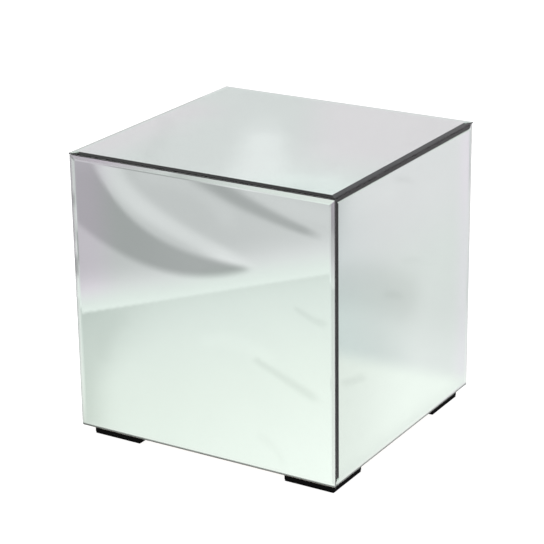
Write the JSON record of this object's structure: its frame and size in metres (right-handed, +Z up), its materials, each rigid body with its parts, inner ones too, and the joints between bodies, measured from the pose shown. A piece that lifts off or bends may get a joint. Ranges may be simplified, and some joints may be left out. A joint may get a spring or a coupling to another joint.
{
  "type": "mirrored display cube",
  "caption": "Free-standing display cube clad in bevelled mirror glass on a board carcass, with low black feet; its flat top carries an exhibit, a lamp or a vase.",
  "frame": {"origin": "middle of the base rectangle, on the surface that the cube stands on", "axes": "+Z up, -Y out of the front mirror (the wider side), +X out of the right-hand mirror"},
  "size_m": [0.4, 0.386, 0.404],
  "materials": {
    "silvered_glass": "silvered float glass with a polished bevel on all four sides and a faint green edge",
    "foam_tape": "closed-cell foam mirror tape, matt",
    "fibreboard": "bare medium-density fibreboard, sealed dark on the underside",
    "softwood": "planed softwood",
    "zinc_steel": "bright zinc plate",
    "black_plastic": "moulded, fine matt grain",
    "black_felt": "pressed felt"
  },
  "bodies": {
    "root": {"batten_back_left": "softwood", "batten_back_right": "softwood", "batten_front_left": "softwood", "batten_front_right": "softwood", "board_back": "fibreboard", "board_bottom": "fibreboard", "board_front": "fibreboard", "board_left": "fibreboard", "board_right": "fibreboard", "board_top": "fibreboard", "foot_back_left": "black_plastic", "foot_back_right": "black_plastic", "foot_front_left": "black_plastic", "foot_front_right": "black_plastic", "foot_pad_back_left": "black_felt", "foot_pad_back_right": "black_felt", "foot_pad_front_left": "black_felt", "foot_pad_front_right": "black_felt", "foot_screw_back_left_1": "zinc_steel", "foot_screw_back_left_2": "zinc_steel", "foot_screw_back_right_1": "zinc_steel", "foot_screw_back_right_2": "zinc_steel", "foot_screw_front_left_1": "zinc_steel", "foot_screw_front_left_2": "zinc_steel", "foot_screw_front_right_1": "zinc_steel", "foot_screw_front_right_2": "zinc_steel", "mirror_back": "silvered_glass", "mirror_front": "silvered_glass", "mirror_left": "silvered_glass", "mirror_right": "silvered_glass", "mirror_top": "silvered_glass", "screw_back_at_back_left_high": "zinc_steel", "screw_back_at_back_left_low": "zinc_steel", "screw_back_at_back_right_high": "zinc_steel", "screw_back_at_back_right_low": "zinc_steel", "screw_bottom_back_left": "zinc_steel", "screw_bottom_back_right": "zinc_steel", "screw_bottom_front_left": "zinc_steel", "screw_bottom_front_right": "zinc_steel", "screw_front_at_front_left_high": "zinc_steel", "screw_front_at_front_left_low": "zinc_steel", "screw_front_at_front_right_high": "zinc_steel", "screw_front_at_front_right_low": "zinc_steel", "screw_left_at_back_left_high": "zinc_steel", "screw_left_at_back_left_low": "zinc_steel", "screw_left_at_front_left_high": "zinc_steel", "screw_left_at_front_left_low": "zinc_steel", "screw_right_at_back_right_high": "zinc_steel", "screw_right_at_back_right_low": "zinc_steel", "screw_right_at_front_right_high": "zinc_steel", "screw_right_at_front_right_low": "zinc_steel", "screw_top_back_left": "zinc_steel", "screw_top_back_right": "zinc_steel", "screw_top_front_left": "zinc_steel", "screw_top_front_right": "zinc_steel", "tape_back": "foam_tape", "tape_front": "foam_tape", "tape_left": "foam_tape", "tape_right": "foam_tape", "tape_top": "foam_tape"}
  },
  "joints": []
}
